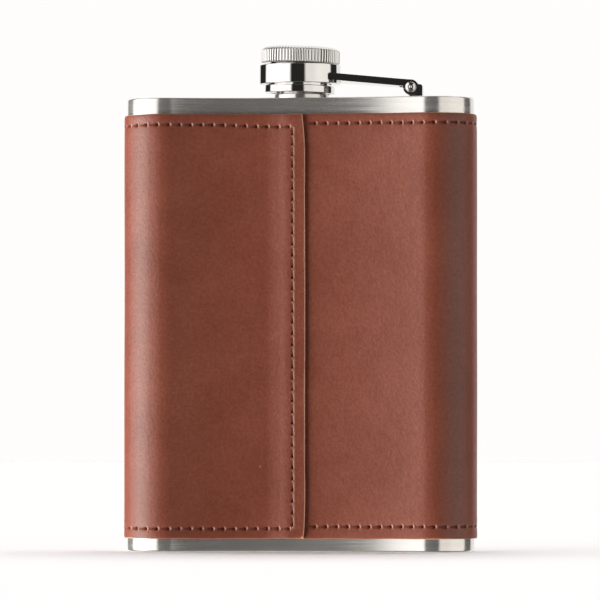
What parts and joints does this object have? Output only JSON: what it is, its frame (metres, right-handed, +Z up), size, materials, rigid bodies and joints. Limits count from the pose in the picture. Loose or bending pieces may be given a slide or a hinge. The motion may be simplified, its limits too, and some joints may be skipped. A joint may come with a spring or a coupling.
{
  "type": "hip flask",
  "caption": "Curved pocket flask in stainless steel with a stitched leather wrap and a captive screw cap on a hinged arm.",
  "frame": {"origin": "middle of the base: the bounding box's centre in X and Y, and the level the flask stands on in Z", "axes": "+Z up along the height, X along the width with the cap's hinge towards +X, +Y out of the convex front, so the concave back and its leather seam face -Y"},
  "size_m": [0.0966, 0.0276, 0.1378],
  "materials": {
    "steel": "fine horizontal brushing on the bands, near mirror",
    "chrome": "mirror polished",
    "leather": "satin brown with a fine pebble grain",
    "thread": "dark red-brown twisted thread",
    "adhesive": "thin clear film",
    "silicone": "matte off-white"
  },
  "bodies": {
    "flask": {"body_shell": "steel", "top_plate": "steel", "bottom_plate": "steel", "neck": "steel", "hinge_bracket": "chrome", "hinge_pin": "chrome", "leather_wrap": "leather", "wrap_adhesive": "adhesive", "top_stitching": "thread", "bottom_stitching": "thread", "seam_stitching": "thread"},
    "arm": {"collar_ring": "chrome", "collar_arm": "chrome"},
    "cap": {"cap_head": "chrome", "cap_barrel": "chrome", "cap_retaining_ring": "chrome", "cap_gasket": "silicone"}
  },
  "joints": [
    {"name": "arm_swing", "type": "hinge", "parent": "flask", "child": "arm", "pos_m": [0.0303, 0.002, 0.12625], "axis": [0, 1, 0], "range_deg": [0, 170]},
    {"name": "cap_turn", "type": "hinge", "parent": "arm", "child": "cap", "pos_m": [-0.00045, 0.002, 0.1292], "axis": [0.0297, 0, 0.9996], "continuous": true}
  ]
}
